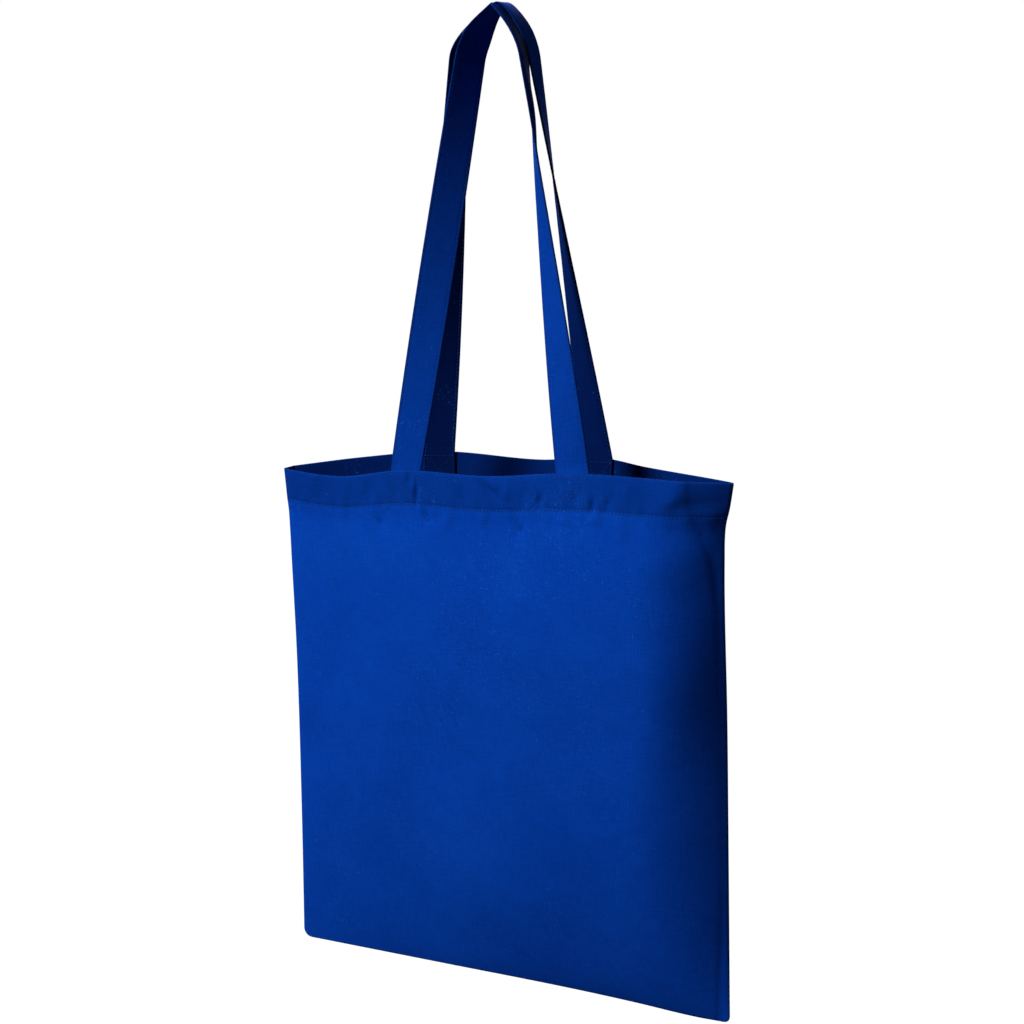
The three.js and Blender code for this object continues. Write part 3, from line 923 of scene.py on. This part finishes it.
def thread_material(name, dark, light):
    """Spun thread: a fine mottle along it and almost no shine."""
    material = bpy.data.materials.new(name)
    material.use_nodes = True
    nodes, links = material.node_tree.nodes, material.node_tree.links
    spun = nodes["Principled BSDF"]
    spun.inputs["Roughness"].default_value = 0.7
    spun.inputs["Specular IOR Level"].default_value = 0.15
    spun.inputs["Sheen Weight"].default_value = 0.1
    spun.inputs["Sheen Tint"].default_value = (0.05, 0.25, 1, 1)
    body = nodes.new("ShaderNodeTexCoord")
    twist = nodes.new("ShaderNodeTexNoise")
    twist.inputs["Scale"].default_value = 900
    twist.inputs["Detail"].default_value = 2
    tones = nodes.new("ShaderNodeValToRGB")
    tones.color_ramp.elements[0].position = 0.35
    tones.color_ramp.elements[0].color = dark
    tones.color_ramp.elements[1].position = 0.7
    tones.color_ramp.elements[1].color = light
    bump = nodes.new("ShaderNodeBump")
    bump.inputs["Strength"].default_value = 0.4
    bump.inputs["Distance"].default_value = 0.05 * mm
    links.new(body.outputs["Object"], twist.inputs["Vector"])
    links.new(twist.outputs[0], tones.inputs[0])
    links.new(tones.outputs[0], spun.inputs["Base Color"])
    links.new(twist.outputs[0], bump.inputs["Height"])
    links.new(bump.outputs[0], spun.inputs["Normal"])
    return material


# The third thread, sewn on the inside of the bag, is a darker copy of the blue thread: painted shade of
# the bag's inside
blue_thread, deep_thread, inner_shade_thread = (
    thread_material(name, dark, light)
    for name, dark, light in (
        ("blue_thread", (0.001, 0.036, 0.270, 1), (0.006, 0.072, 0.400, 1)),
        ("deep_thread", (0.0006, 0.022, 0.170, 1), (0.002, 0.040, 0.260, 1)),
        ("inner_shade_thread", (0.0002, 0.008, 0.070, 1), (0.0006, 0.015, 0.120, 1)),
    )
)


def sew(name, lines, material):
    """A piece of stitching along lines of (point, normal), which rides with the cloth it is sewn to."""
    mesh = bpy.data.meshes.new(name + "_lines")
    spots, edges = [], []
    for one in lines:
        first = len(spots)
        spots += one
        edges += [(k, k + 1) for k in range(first, len(spots) - 1)]
    mesh.from_pydata([point + normal * thread_lift for point, normal in spots], edges, [])
    normals = mesh.attributes.new("cloth_normal", "FLOAT_VECTOR", "POINT")
    for k, (_, normal) in enumerate(spots):
        normals.data[k].vector = normal
    guide = bpy.data.objects.new(name + "_lines", mesh)
    scene.collection.objects.link(guide)
    rows_of_thread = guide.modifiers.new("stitches", "NODES")
    rows_of_thread.node_group = stitch_row
    for identifier, number in stitch_inputs.items():
        rows_of_thread[identifier] = number
    rows_of_thread[thread_socket.identifier] = material
    bpy.context.view_layer.update()
    depsgraph = bpy.context.evaluated_depsgraph_get()
    stitches = bpy.data.meshes.new_from_object(guide.evaluated_get(depsgraph))
    guide.modifiers.clear()
    bpy.data.objects.remove(guide)
    stitches.name = name
    piece = bpy.data.objects.new(name, stitches)
    scene.collection.objects.link(piece)
    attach(piece, "root")
    return piece


def surface_spot(side, across, height, inward):
    """A point of the hem's outer or inner face and the direction out of it, which is into the bag
    for a face that lies more than 1 mm inward."""
    step = 1.5 * mm
    point = panel_point(side, across, height, inward)
    beside = panel_point(side, across + step / half_bag, height, inward)
    above = panel_point(side, across, height + step, inward)
    normal = (beside - point).cross(above - point).normalized()
    out = -1 if inward > mm else 1
    return point, normal * (out if normal.y * side > 0 else -out)


def hem_line(side, inward):
    """One panel's row of hem sewing, which stops just short of the seams."""
    return [surface_spot(side, across, bag_height - hem_sewing, inward)
            for across in stepped(-hem_row_reach, hem_row_reach, hem_row_places / half_bag)]


def box_lines(side, leg_side, inward):
    """The square and cross that hold one handle end. The hem's own row is the square's lower side."""
    middle, half = leg_side * handle_spacing / 2, handle_half - box_inset
    corners = [
        (middle - half, bag_height - box_top), (middle + half, bag_height - box_top),
        (middle + half, bag_height - box_bottom), (middle - half, bag_height - box_bottom),
    ]
    runs = [(0, 1), (1, 2), (3, 0), (0, 2), (1, 3)]
    lines = []
    for first, last in runs:
        (x0, z0), (x1, z1) = corners[first], corners[last]
        shares = [k / box_steps for k in range(box_steps + 1)]
        spots = [(x0 + (x1 - x0) * share, z0 + (z1 - z0) * share) for share in shares]
        lines.append([
            surface_spot(side, x / half_width(leg_side, bag_height), height, inward)
            for x, height in spots
        ])
    return lines


hem_stitching = sew(
    "hem_stitching", [hem_line(side, inward) for side in (-1, 1) for inward in (0, hem_thickness)],
    blue_thread,
)
seat_inner = hem_thickness + touch_gap + handle_thickness
outer_boxes, inner_boxes = (
    sew(
        name,
        [line for side in (-1, 1) for leg_side in (-1, 1)
         for line in box_lines(side, leg_side, inward)],
        material,
    )
    for name, inward, material in (
        ("outer_end_stitching", outer_end_depth, deep_thread),
        ("inner_end_stitching", seat_inner + inner_end_lift, inner_shade_thread),
    )
)
for strap, sewing, lengths in (
    (front_strap, front_sewing, front_lengths), (back_strap, back_sewing, back_lengths),
):
    free = [k for k, length in enumerate(lengths)
            if handle_overlap - 1 * mm < length < lengths[-1] - handle_overlap + 1 * mm]
    rows_of_spots = [row[free[0]:free[-1] + 1] for row in sewing.values()]
    sew(strap.name + "_stitching", rows_of_spots, deep_thread)
